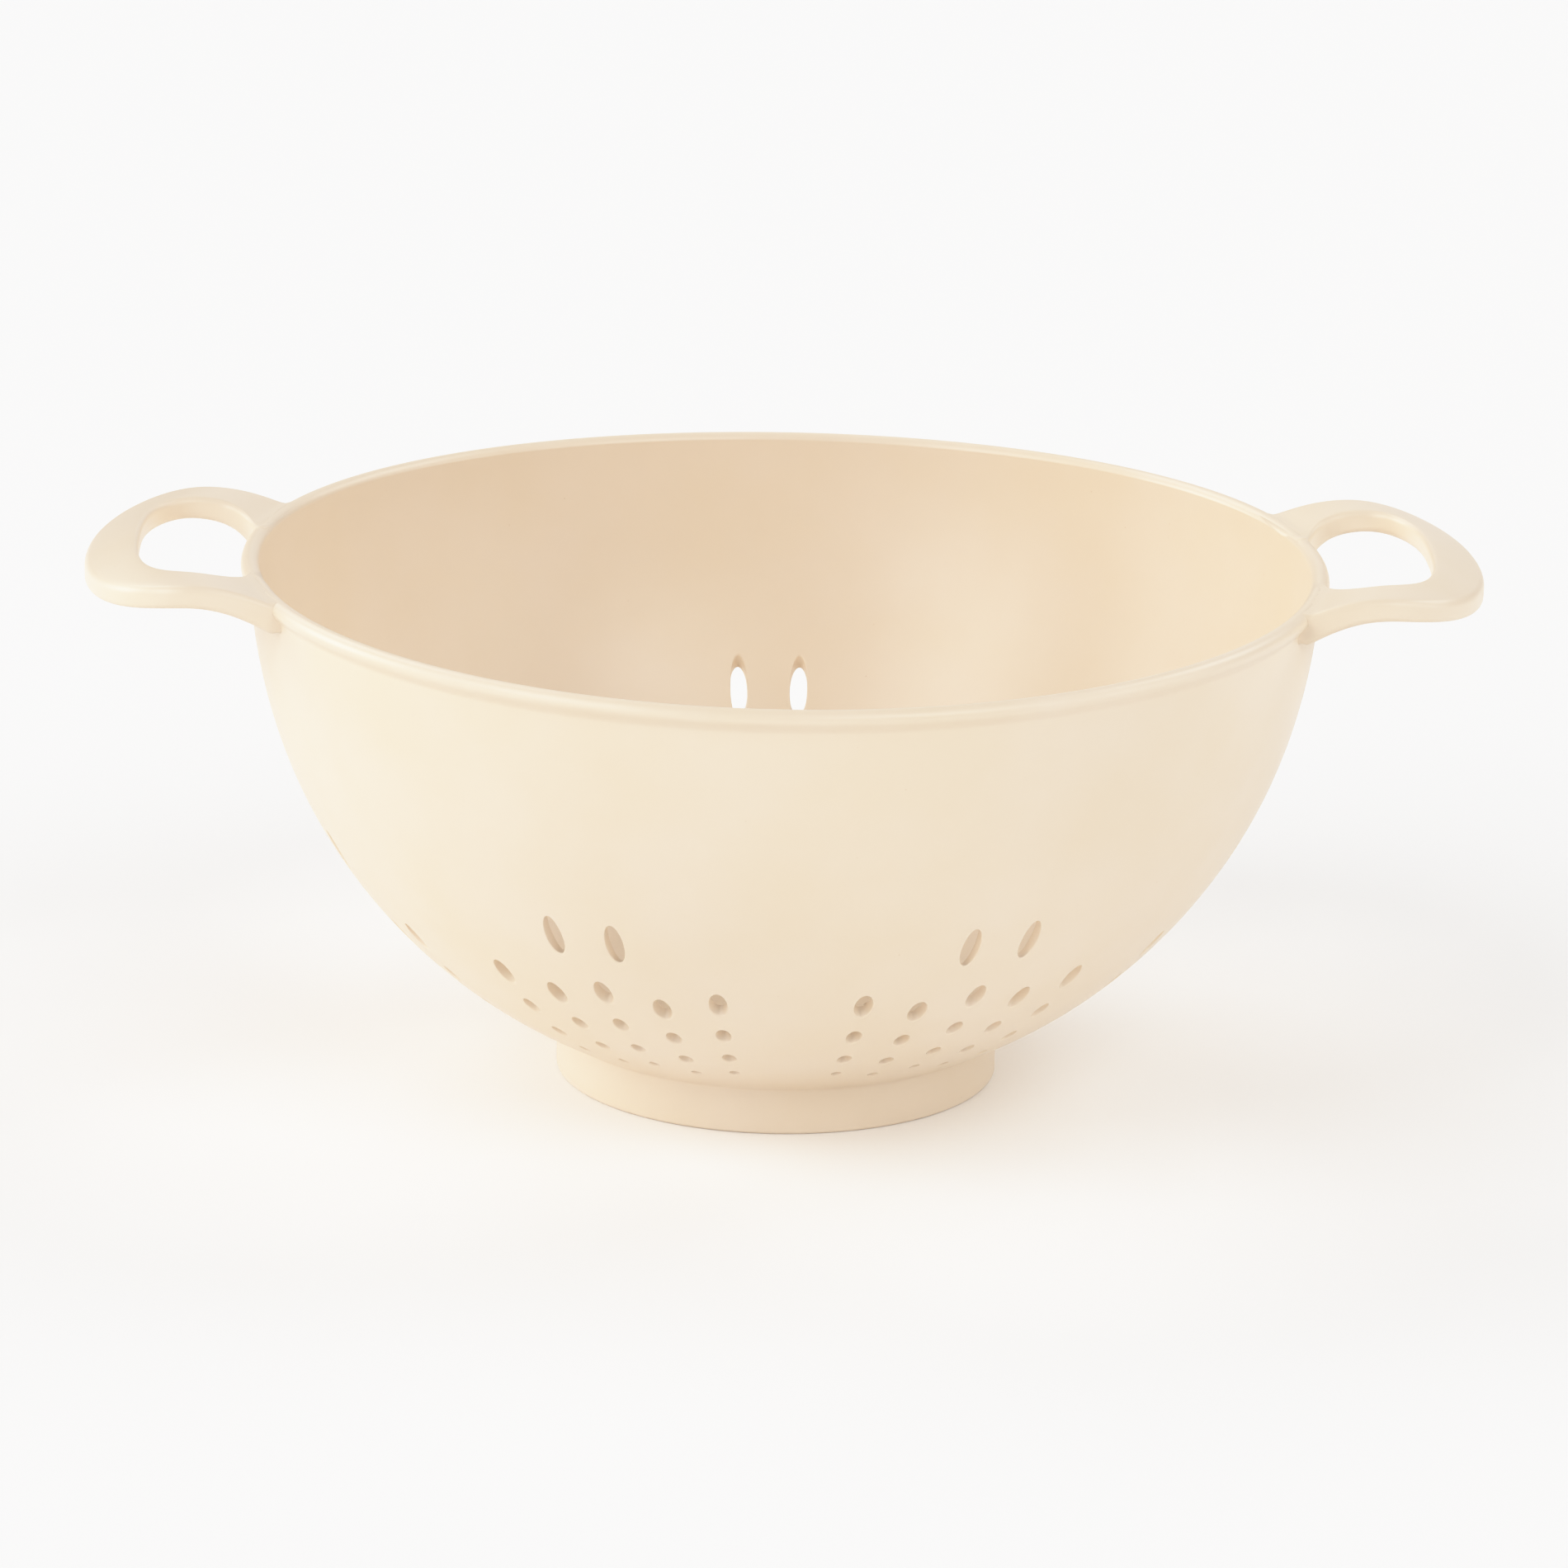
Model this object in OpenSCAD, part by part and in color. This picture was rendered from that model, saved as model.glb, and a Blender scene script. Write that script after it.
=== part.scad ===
// Footed colander moulded in one piece: a hemispherical bowl on a ring foot, with a beaded rim,
// two arched loop handles and seven tapering clusters of drain holes drawn straight up and down.
// Origin at the centre of the foot's underside, +Z up, handles along X.

/* [Bowl] */
// Outer diameter of the rim bead
rim_d = 245; // [220:1:270]
// Height of the rim's top above the surface that the foot stands on
height = 119.1; // [105:0.1:135]
// Wall thickness of the bowl
wall_t = 2.4; // [1.8:0.1:3.5]

/* [Rim] */
// How far the bead stands out from the wall under it
bead_proud = 1.7; // [0.8:0.1:3]
// Height of the bead
bead_h = 3.2; // [3:0.1:6]
// Rounding of the bead's lower outer edge
bead_edge = 0.7; // [0.2:0.1:0.8]

/* [Foot and floor] */
// Outer diameter of the foot ring
foot_d = 100.6; // [80:0.1:120]
// Height at which the foot ring meets the bowl
foot_h = 10.65; // [8:0.05:16]
// Thickness of the foot ring
foot_t = 3; // [2:0.1:5]
// Rounding of the foot ring's standing edge
foot_edge = 0.8; // [0.2:0.1:0.9]
// How far the flat floor's underside lies below the foot's joint with the bowl
floor_drop = 4.6; // [3:0.1:6]
// Diameter of the holes in the flat floor
floor_hole_d = 3.2; // [2:0.1:5]
// Distance between the rings of floor holes
floor_ring_pitch = 9.6; // [7:0.1:14]

/* [Drain clusters] */
// Number of hole clusters round the bowl, and of holes added by each ring of the floor
clusters = 7; // [5:1:7]
// Direction of the first cluster's middle, in degrees from the front towards the right handle
cluster_turn = 180; // [-180:1:180]
// Angle between the columns of a cluster, in degrees
column_angle = 8; // [7:0.1:9]
// Width of the widest holes
hole_w = 4.2; // [2.5:0.1:5]
// Length of the longest holes, measured outwards in plan
hole_l = 5.6; // [5.1:0.1:7]
// How far the second and fourth columns lie nearer the middle of the bowl
column_drop = 2.4; // [0:0.1:4]
// Plain land between the top row and the edge of the drain zone, in plan
drain_land = 1.7; // [1:0.1:4]

/* [Handles] */
// How far each handle reaches out from the rim
handle_reach = 35; // [31:0.1:50]
// Width across both arms of a handle
handle_w = 90; // [70:0.5:110]
// Thickness of the handle
handle_t = 5.2; // [4:0.1:8]
// Height of the handle's crown above its ends
handle_rise = 5.4; // [0:0.1:8]
// Width of each arm
arm_w = 12.7; // [9:0.1:18]
// Width of the grip at its middle
grip_w = 12.2; // [8:0.1:16]
// Length over which the grip's end curves round
grip_bow = 26; // [20:0.5:31]
// How far the opening bows back from its widest place towards the rim
root_bow = 12.5; // [10:0.5:18]
// Squareness of the opening's curve, where 2 is an ellipse
opening_square = 2.7; // [2:0.1:4]
// Rounding of the handle's long edges
handle_edge = 1.5; // [0.5:0.1:1.9]
// Extra depth of the handle where it leaves the rim
root_flare = 2; // [0:0.1:4]
// Length over which that extra depth fades out
root_flare_l = 19; // [8:1:30]
// Depth of the handle's top below the rim's top, where they meet
root_step = 0.25; // [0.05:0.05:1]

/* [Hidden] */
$fn = 96;
body_color = "antiquewhite";
// Overrun of cuts past the faces that they cut
over = 5;

// Bowl: one sphere, through the wall's outer edge at the rim and the foot's outer edge at its top
rim_r = rim_d / 2;
foot_r = foot_d / 2;
wall_top_r = rim_r - bead_proud;
centre_z = (pow(wall_top_r, 2) - pow(foot_r, 2) + pow(height, 2) - pow(foot_h, 2)) / (2 * (height - foot_h));
outer_r = norm([wall_top_r, centre_z - height]);
inner_r = outer_r - wall_t;

// Height of the bowl's outer face at a distance from the axis
function outer_z(r) = centre_z - sqrt(pow(outer_r, 2) - pow(r, 2));

// Rim bead
bead_z = height - bead_h;
bead_in_r = sqrt(pow(inner_r, 2) - pow(centre_z - bead_z, 2));
lip_r = (rim_r - bead_in_r) / 2;

// Foot and floor
foot_in_r = foot_r - foot_t;
floor_z = foot_h - floor_drop;
floor_top = floor_z + wall_t;
floor_flat_r = sqrt(pow(inner_r, 2) - pow(centre_z - floor_top, 2));
floor_rings = floor((floor_flat_r - floor_hole_d) / floor_ring_pitch);

// Rows of holes, from the top row down: places as shares of the way from the foot to the rim
row_place_shares = [0.762, 0.613, 0.481, 0.349, 0.228];
// Size of each row's holes as shares of the largest
row_size_shares = [1, 0.96, 0.79, 0.71, 0.48];
// Columns of each row, counted from the cluster's middle
top_columns = [-0.5, 0.5];
columns = [-2, -1, 0, 1, 2];
function row_r(i) = foot_r + (wall_top_r - foot_r) * row_place_shares[i];
drain_r = row_r(0) + hole_l / 2 + drain_land;
drain_z = outer_z(drain_r);

// Handles: curves in plan about the middle of the grip's bow
tip_r = rim_r + handle_reach;
bow_x = tip_r - grip_bow;
half_w = handle_w / 2;
crown_r = (rim_r + tip_r) / 2;
root_z = height - root_step;
half_rings = 22;
corner_steps = 4;
halvings = 20;
root_angle = rim_angle(90, 180, halvings);
ring_angle_shares = [for (i = [-half_rings : half_rings]) i / half_rings];

// Distance from the bow's centre to a superellipse with half axes a and b, at an angle
function super_r(angle, a, b, n) =
    pow(pow(abs(cos(angle)) / a, n) + pow(abs(sin(angle)) / b, n), -1 / n);

// Distance to the handle's outer edge: half an ellipse, then straight arms into the rim
function edge_r(angle) =
    abs(angle) <= 90 ? super_r(angle, grip_bow, half_w, 2) : half_w / abs(sin(angle));

// Distance to the edge of the finger opening
function opening_r(angle) =
    super_r(angle, abs(angle) <= 90 ? grip_bow - grip_w : root_bow, half_w - arm_w, opening_square);

// Angle at which the opening's edge lies half way under the bead's overhang, found by halving
function rim_angle(low, high, steps) =
    let (mid = (low + high) / 2, d = opening_r(mid))
    steps == 0 ? mid
        : norm([bow_x + d * cos(mid), d * sin(mid)]) > rim_r - bead_proud / 2
        ? rim_angle(mid, high, steps - 1)
        : rim_angle(low, mid, steps - 1);

// Height of the handle's top face at a distance from the bowl's axis: a parabola from rim to tip
function handle_top(r) =
    root_z + handle_rise * (1 - pow((max(r, rim_r) - crown_r) / (tip_r - crown_r), 2));

// Extra depth of the handle's underside at a distance from the bowl's axis, fading as a parabola
function flare(r) = root_flare * pow(max(0, 1 - (max(r, rim_r) - rim_r) / root_flare_l), 2);

// Corner points of a rounded rectangle w wide and t thick, about its middle
function round_rect(w, t, e) = [
    for (corner = [0 : 3], k = [0 : corner_steps])
        let (a = 90 * (corner + k / corner_steps),
             side = (corner == 0 || corner == 3) ? 1 : -1,
             face = corner < 2 ? 1 : -1)
        [side * (w / 2 - e) + e * cos(a), face * (t / 2 - e) + e * sin(a)]
];

// One section of the handle, upright along the ray at an angle from the bow's centre
function handle_ring(angle) =
    let (near = opening_r(angle), far = edge_r(angle))
    [for (p = round_rect(far - near, handle_t, handle_edge))
        let (d = (near + far) / 2 + p[0],
             x = bow_x + d * cos(angle),
             y = d * sin(angle),
             r = norm([x, y]))
        [x, y, handle_top(r) - handle_t / 2 + p[1] - (p[1] < 0 ? flare(r) : 0)]];

// Solid skin over rings of points, all with the same count, closed at both ends
module loft(rings) {
    n = len(rings[0]);
    last = (len(rings) - 1) * n;
    points = [for (ring = rings, p = ring) p];
    sides = [for (i = [0 : len(rings) - 2], k = [0 : n - 1], half = [0, 1])
        let (a = i * n + k, b = i * n + (k + 1) % n)
        half == 0 ? [a, b, a + n] : [b, b + n, a + n]];
    start = [for (k = [n - 1 : -1 : 0]) k];
    end = [for (k = [0 : n - 1]) last + k];
    polyhedron(points = points, faces = concat(sides, [start, end]), convexity = 6);
}

// Half plane right of the axis between two heights, out to a radius
module band(r0, r1, z0, z1) {
    translate([r0, z0]) square([r1 - r0, z1 - z0]);
}

// Section of a sphere about the bowl's centre
module ball_section(r) {
    translate([0, centre_z]) circle(r);
}

// Section of the bead's round top
module lip_section() {
    intersection() {
        translate([rim_r - lip_r, height - lip_r]) circle(lip_r);
        band(bead_in_r, rim_r, height - lip_r, height);
    }
}

// Section of the rim bead, round on top and softened below
module bead_section() {
    lip_section();
    band(bead_in_r, rim_r - bead_edge, bead_z, height - lip_r);
    band(bead_in_r, rim_r, bead_z + bead_edge, height - lip_r);
    translate([rim_r - bead_edge, bead_z + bead_edge]) circle(bead_edge);
}

// Section of the bowl's wall between two heights, outside a radius
module wall_section(r0, z0, z1) {
    intersection() {
        difference() {
            ball_section(outer_r);
            ball_section(inner_r);
        }
        band(r0, rim_r, z0, z1);
    }
}

// Everything that the handles stop against: the bowl's outer face, the bead and the space inside
module inside_rim() {
    rotate_extrude() {
        intersection() {
            ball_section(outer_r);
            band(0, rim_r, 0, bead_z);
        }
        band(0, rim_r, bead_z, height - lip_r);
        lip_section();
        band(0, rim_r - lip_r, height - lip_r, height + handle_rise + over);
    }
}

// A hole with round ends, drawn straight up through the wall
module drain_hole(w, l) {
    linear_extrude(drain_z + over) {
        square([l - w, w], center = true);
        for (side = [-1, 1]) translate([side * (l - w) / 2, 0]) circle(d = w);
    }
}

// Places its children at a plan radius and an angle from the front towards the right
module at_bearing(r, angle) {
    rotate([0, 0, angle - 90]) translate([r, 0, 0]) children();
}

// The holes of one cluster, narrowing towards the foot
module cluster() {
    for (i = [0 : len(row_place_shares) - 1], column = i == 0 ? top_columns : columns) {
        share = row_size_shares[i];
        at_bearing(row_r(i) - (abs(column) == 1 ? column_drop : 0), column * column_angle)
            drain_hole(hole_w * share, hole_l * share);
    }
}

module rim_bead() {
    color(body_color) rotate_extrude() bead_section();
}

module bowl_wall() {
    color(body_color) rotate_extrude() wall_section(0, drain_z, bead_z);
}

module drain_basin() {
    color(body_color) difference() {
        rotate_extrude() wall_section(floor_flat_r, floor_z, drain_z);
        for (i = [0 : clusters - 1]) rotate([0, 0, cluster_turn + i * 360 / clusters]) cluster();
    }
}

module base_floor() {
    color(body_color) translate([0, 0, floor_z]) difference() {
        cylinder(r = floor_flat_r, h = wall_t);
        translate([0, 0, -over]) {
            cylinder(d = floor_hole_d, h = wall_t + 2 * over);
            for (ring = [1 : floor_rings], i = [1 : clusters * ring])
                at_bearing(ring * floor_ring_pitch, cluster_turn + i * 360 / (clusters * ring))
                    cylinder(d = floor_hole_d, h = wall_t + 2 * over);
        }
    }
}

module foot_ring() {
    color(body_color) rotate_extrude() difference() {
        union() {
            band(foot_in_r, foot_r, foot_edge, foot_h);
            band(foot_in_r + foot_edge, foot_r - foot_edge, 0, foot_edge);
            for (r = [foot_in_r + foot_edge, foot_r - foot_edge])
                translate([r, foot_edge]) circle(foot_edge);
        }
        ball_section(outer_r);
    }
}

module right_handle() {
    color(body_color) difference() {
        loft([for (share = ring_angle_shares) handle_ring(share * root_angle)]);
        inside_rim();
    }
}

module left_handle() {
    mirror([1, 0, 0]) right_handle();
}

rim_bead();
bowl_wall();
drain_basin();
base_floor();
foot_ring();
left_handle();
right_handle();
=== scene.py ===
"""Cream melamine colander on a ring foot, with two loop handles and seven clusters of drain holes.

Lengths are in metres and angles in degrees. +Z is up, the origin is the centre of the foot's
underside, the handles lie along X and the front is -Y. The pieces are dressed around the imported
frame.
"""

import logging
import math
from collections.abc import Callable
from dataclasses import dataclass
from enum import Enum

import bmesh
import bpy
import numpy as np
from mathutils import Matrix, Vector


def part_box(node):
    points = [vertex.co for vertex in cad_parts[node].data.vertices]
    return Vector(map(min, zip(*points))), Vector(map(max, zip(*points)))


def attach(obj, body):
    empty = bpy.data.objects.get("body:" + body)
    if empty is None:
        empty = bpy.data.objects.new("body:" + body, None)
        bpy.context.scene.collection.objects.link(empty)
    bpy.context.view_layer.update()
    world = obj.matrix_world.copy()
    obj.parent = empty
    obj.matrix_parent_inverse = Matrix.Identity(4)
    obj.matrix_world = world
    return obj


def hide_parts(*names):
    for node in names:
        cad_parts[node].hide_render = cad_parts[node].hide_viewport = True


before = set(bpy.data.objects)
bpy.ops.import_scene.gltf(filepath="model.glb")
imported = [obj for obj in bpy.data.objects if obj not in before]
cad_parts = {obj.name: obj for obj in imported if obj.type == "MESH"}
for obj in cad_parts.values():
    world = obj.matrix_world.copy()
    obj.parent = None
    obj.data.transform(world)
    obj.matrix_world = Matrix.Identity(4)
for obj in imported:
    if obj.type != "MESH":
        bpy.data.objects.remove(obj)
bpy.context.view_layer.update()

log = logging.getLogger("colander")

BODY = "root"
WELD = 1e-6
CREASE = math.radians(40)
MM_PER_M = 1000
Height = Callable[[np.ndarray], np.ndarray]


def polar(radius: np.ndarray | float, degrees: np.ndarray | float) -> np.ndarray:
    """Plan points at a distance and a direction from the axis.

    Args:
        radius: Distance from the axis.
        degrees: Direction, anticlockwise from +X seen from above.

    Returns:
        Array of (x, y) in the arguments' common shape.
    """
    turn = np.radians(degrees)
    return np.stack([radius * np.cos(turn), radius * np.sin(turn)], axis=-1)


def turned(points: np.ndarray, degrees: np.ndarray) -> np.ndarray:
    """Copies of an array of points, each turned about the Z axis.

    Args:
        points: Array (..., 3).
        degrees: One turn for each copy.

    Returns:
        Array (copies, ..., 3).
    """
    turn = np.radians(degrees).reshape((-1,) + (1,) * (points.ndim - 1))
    x, y = points[..., 0], points[..., 1]
    across = x * np.cos(turn) - y * np.sin(turn)
    along = x * np.sin(turn) + y * np.cos(turn)
    return np.stack([across, along, np.broadcast_to(points[..., 2], across.shape)], axis=-1)


def spun(profile: np.ndarray, degrees: np.ndarray) -> np.ndarray:
    """Surface of a profile turned about the Z axis.

    A point of the surface is (r cos t, r sin t, z) for each (r, z) of the profile and each
    direction t.

    Args:
        profile: Array (points, 2) of radius and height.
        degrees: Directions at which the profile is repeated.

    Returns:
        Grid (points, directions, 3).
    """
    plan = polar(profile[:, :1], degrees[None, :])
    height = np.broadcast_to(profile[:, 1:], plan.shape[:2])
    return np.concatenate([plan, height[..., None]], axis=-1)


def arc(
    centre: tuple[float, float],
    radius: float,
    start: float,
    end: float,
    steps: int,
) -> np.ndarray:
    """Points of a round stretch of a profile.

    Args:
        centre: Radius and height of the arc's centre.
        radius: Radius of the arc.
        start: First direction in degrees, 0 outwards and 90 upwards.
        end: Last direction in degrees.
        steps: Number of stretches between the points.

    Returns:
        Array (steps + 1, 2).
    """
    return np.array(centre) + polar(radius, np.linspace(start, end, steps + 1))


def square_loop(across: int, up: int) -> np.ndarray:
    """Points round the unit square, anticlockwise from its lower left corner.

    Args:
        across: Stretches on the lower and the upper side.
        up: Stretches on the left and the right side.

    Returns:
        Array (2 * (across + up), 2).
    """
    u = np.linspace(0, 1, across, endpoint=False)
    v = np.linspace(0, 1, up, endpoint=False)
    lower = np.stack([u, np.zeros(across)], axis=-1)
    right = np.stack([np.ones(up), v], axis=-1)
    return np.concatenate([lower, right, 1 - lower, 1 - right])


def smooth_step(share: np.ndarray) -> np.ndarray:
    """Smooth rise from 0 to 1 as the share does, level at both ends: 3 s^2 - 2 s^3."""
    s = np.clip(share, 0, 1)
    return s * s * (3 - 2 * s)


def soft_max(a: np.ndarray | float, b: np.ndarray | float, blend: float) -> np.ndarray:
    """The larger of two heights, with the corner between them rounded over the blend length."""
    return (a + b + np.sqrt((a - b) ** 2 + blend**2)) / 2


class Skin:
    """A closed mesh gathered from grids of points, welded where they meet."""

    def __init__(self) -> None:
        """Starts with no points."""
        self.points: list[np.ndarray] = []
        self.quads: list[np.ndarray] = []
        self.caps: list[np.ndarray] = []
        self.count = 0

    def add(self, grid: np.ndarray, closed: bool = False) -> np.ndarray:
        """Adds the quads of one or more grids.

        Args:
            grid: Array (rows, columns, 3), or (grids, rows, columns, 3).
            closed: Whether each row runs round to its start.

        Returns:
            The points' numbers in the mesh, in the shape (grids, rows, columns).
        """
        grids = grid.reshape((-1,) + grid.shape[-3:])
        copies, rows, columns = grids.shape[:3]
        numbers = self.count + np.arange(copies * rows * columns).reshape(copies, rows, columns)
        self.points.append(grids.reshape(-1, 3))
        self.count += numbers.size
        ring = np.concatenate([numbers, numbers[..., :1]], axis=2) if closed else numbers
        corners = [ring[:, :-1, :-1], ring[:, :-1, 1:], ring[:, 1:, 1:], ring[:, 1:, :-1]]
        self.quads.append(np.stack(corners, axis=-1).reshape(-1, 4))
        return numbers

    def cap(self, numbers: np.ndarray) -> None:
        """Closes one ring of points with a single face."""
        self.caps.append(numbers)

    def mesh(self, name: str) -> bpy.types.Mesh:
        """Builds the welded mesh, smooth and facing outwards.

        Args:
            name: Name of the mesh.

        Returns:
            The new mesh.
        """
        faces = np.concatenate(self.quads).tolist() + [ring.tolist() for ring in self.caps]
        mesh = bpy.data.meshes.new(name)
        mesh.from_pydata(np.concatenate(self.points).tolist(), [], faces)
        work = bmesh.new()
        work.from_mesh(mesh)
        bmesh.ops.remove_doubles(work, verts=work.verts, dist=WELD)
        bmesh.ops.recalc_face_normals(work, faces=work.faces)
        work.to_mesh(mesh)
        work.free()
        mesh.polygons.foreach_set("use_smooth", np.ones(len(mesh.polygons), bool))
        mesh.update()
        return mesh


def place(mesh: bpy.types.Mesh, finish: bpy.types.Material, nodes: list[str]) -> bpy.types.Object:
    """Makes a mesh a piece of the colander.

    Args:
        mesh: The piece's mesh, in place.
        finish: Its material.
        nodes: The CAD nodes that it stands for.

    Returns:
        The new object.
    """
    piece = bpy.data.objects.new(mesh.name, mesh)
    bpy.context.scene.collection.objects.link(piece)
    mesh.materials.append(finish)
    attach(piece, BODY)
    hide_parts(*nodes)
    mesh.calc_loop_triangles()
    log.info("%s: %d triangles", piece.name, len(mesh.loop_triangles))
    return piece


@dataclass(frozen=True)
class BowlForm:
    """The bowl's two spheres and the places where its regions meet."""

    rim_r: float
    height: float
    bead_z: float
    foot_r: float
    foot_h: float
    floor_z: float
    drain_r: float
    wall: float = 0.0024
    bead_proud: float = 0.0017
    foot_t: float = 0.003
    rim_lift: float = 0.0015

    @classmethod
    def from_frame(cls) -> "BowlForm":
        """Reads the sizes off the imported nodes.

        Returns:
            The bowl's form.
        """
        bead_low, bead_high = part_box("rim_bead")
        basin_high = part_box("drain_basin")[1]
        foot_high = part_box("foot_ring")[1]
        floor_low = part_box("base_floor")[0]
        return cls(
            rim_r=bead_high.x,
            height=bead_high.z,
            bead_z=bead_low.z,
            foot_r=foot_high.x,
            foot_h=foot_high.z,
            floor_z=floor_low.z,
            drain_r=basin_high.x,
        )

    @property
    def centre_z(self) -> float:
        """Height of the spheres' centre.

        The outer sphere passes through the wall's edge at the rim (r1, z1) and the foot's upper
        edge (r2, z2), so it is (r1^2 - r2^2 + z1^2 - z2^2) / (2 (z1 - z2)).
        """
        top_r = self.rim_r - self.bead_proud
        squares = top_r**2 - self.foot_r**2 + self.height**2 - self.foot_h**2
        return squares / (2 * (self.height - self.foot_h))

    @property
    def outer_r(self) -> float:
        """Radius of the outer sphere."""
        return math.hypot(self.rim_r - self.bead_proud, self.centre_z - self.height)

    @property
    def inner_r(self) -> float:
        """Radius of the inner sphere."""
        return self.outer_r - self.wall

    @property
    def foot_in_r(self) -> float:
        """Inner radius of the foot ring."""
        return self.foot_r - self.foot_t

    @property
    def floor_top(self) -> float:
        """Height of the flat floor's upper face."""
        return self.floor_z + self.wall

    @property
    def lip_r(self) -> float:
        """Radius of the rim's round top."""
        return (self.rim_r - self.radius_at(self.bead_z, self.inner_r)) / 2

    def radius_at(self, z: float, sphere_r: float) -> float:
        """Distance from the axis at which a sphere about the bowl's centre has a height."""
        return math.sqrt(sphere_r**2 - (self.centre_z - z) ** 2)

    def under(self, r: np.ndarray) -> np.ndarray:
        """Height of the outer sphere: centre - sqrt(R^2 - r^2)."""
        return self.centre_z - np.sqrt(self.outer_r**2 - r**2)

    def over(self, r: np.ndarray) -> np.ndarray:
        """Height of the inner sphere: centre - sqrt(R^2 - r^2)."""
        return self.centre_z - np.sqrt(self.inner_r**2 - r**2)

    def lift(self, x: np.ndarray, y: np.ndarray) -> np.ndarray:
        """Rise of the rim: the whole lift towards the handles, times cos^2 in other directions."""
        return self.rim_lift * x**2 / np.maximum(x**2 + y**2, WELD)

    def lifted(self, points: np.ndarray) -> np.ndarray:
        """Points of the bowl with the rim's slow rise towards the handles.

        A point goes up by the lift in its direction, times a smooth step from the drain zone's
        edge to the bead.

        Args:
            points: Array (points, 3).

        Returns:
            Array of the same shape.
        """
        drain_z = float(self.under(np.array(self.drain_r)))
        share = smooth_step((points[:, 2] - drain_z) / (self.bead_z - drain_z))
        rise = self.lift(points[:, 0], points[:, 1]) * share
        return points + np.stack([np.zeros_like(rise), np.zeros_like(rise), rise], axis=-1)

    def sphere_arc(self, sphere_r: float, r0: float, r1: float, steps: int) -> np.ndarray:
        """Profile along a sphere, in even steps of arc.

        Args:
            sphere_r: Radius of the sphere.
            r0: First distance from the axis.
            r1: Last distance from the axis.
            steps: Number of stretches between them.

        Returns:
            Array (steps + 1, 2) of radius and height.
        """
        angles = np.linspace(math.asin(r0 / sphere_r), math.asin(r1 / sphere_r), steps + 1)
        r, drop = sphere_r * np.sin(angles), sphere_r * np.cos(angles)
        return np.stack([r, self.centre_z - drop], axis=-1)


@dataclass(frozen=True)
class HoleEdge:
    """The soft edge of a drain hole: a quarter ellipse between the hole's wall and the face."""

    reach: float = 0.00028
    depth: float = 0.00035
    steps: int = 3

    def rings(self, plain_shares: tuple[float, ...]) -> tuple[np.ndarray, np.ndarray, np.ndarray]:
        """The rings round a hole, from the cell's border in to the hole's wall.

        Args:
            plain_shares: Shares of the way from the soft edge to the border, largest first.

        Returns:
            Three arrays of one value a ring: share of the border, growth of the hole's outline, and
            how deep the ring lies below the face.
        """
        turn = np.radians(np.linspace(90, 0, self.steps + 1))
        plain = np.array(plain_shares)
        share = np.concatenate([plain, np.zeros(turn.size)])
        growth = np.concatenate([np.full(plain.size, self.reach), self.reach * (1 - np.cos(turn))])
        depth = np.concatenate([np.zeros(plain.size), self.depth * (1 - np.sin(turn))])
        return share, growth, depth


def pierced(
    border: np.ndarray,
    outline: Callable[[float, bool], np.ndarray],
    rings: tuple[np.ndarray, np.ndarray, np.ndarray],
    under: Height,
    over: Height,
) -> np.ndarray:
    """The faces round holes, and the holes' walls, as one sleeve for each hole.

    In plan a ring is (1 - s) E(g) + s B, where E(g) is the hole's outline on that face, grown by
    g, and B the cell's border. On the under face it lies at under(r) + d, and on the upper at
    over(r) - d.

    Args:
        border: Plan points (holes, loop, 2) of the cells' borders.
        outline: Gives the plan points of the holes' outlines, grown by a length, on the upper
            face or on the lower one.
        rings: Shares, growths and depths, as HoleEdge gives them.
        under: Height of the lower face at a distance from the axis.
        over: Height of the upper face at a distance from the axis.

    Returns:
        Grid (holes, rings, loop, 3).
    """
    shares, growths, depths = rings
    faces = []
    for is_upper, height, side in ((False, under, 1), (True, over, -1)):
        outlines = [outline(growth, is_upper) for growth in growths]
        plan = np.stack([(1 - s) * edge + s * border for s, edge in zip(shares, outlines)], axis=1)
        z = height(np.hypot(plan[..., 0], plan[..., 1])) + side * depths[:, None]
        faces.append(np.concatenate([plan, z[..., None]], axis=-1))
    return np.concatenate([faces[0], faces[1][:, ::-1]], axis=1)


@dataclass(frozen=True)
class HoleRow:
    """One row of a cluster, and how finely its cells are drawn.

    The lean is how far the hole's middle moves towards the axis on its way up through the wall,
    and the opened length is what the hole gains along its length on the inner face.
    """

    place_share: float
    width: float
    length: float
    lean: float = 0.0007
    opened: float = 0.0
    columns: tuple[float, ...] = (-16, -8, 0, 8, 16)
    up: int = 6
    edge_steps: int = 2
    plain_shares: tuple[float, ...] = (1.0, 0.4)


FINE_SHARES = (1.0, 0.6, 0.25)
ROWS = (
    HoleRow(
        place_share=0.759,
        width=0.0042,
        length=0.006,
        lean=0.0019,
        opened=0.0022,
        columns=(-4, 4),
        up=8,
        edge_steps=3,
        plain_shares=FINE_SHARES,
    ),
    HoleRow(0.611, 0.00405, 0.0054, lean=0.001, up=8, edge_steps=3, plain_shares=FINE_SHARES),
    HoleRow(0.481, 0.00335, 0.00415),
    HoleRow(0.349, 0.00305, 0.00365),
    HoleRow(0.228, 0.0021, 0.00255, up=4),
)


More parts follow.
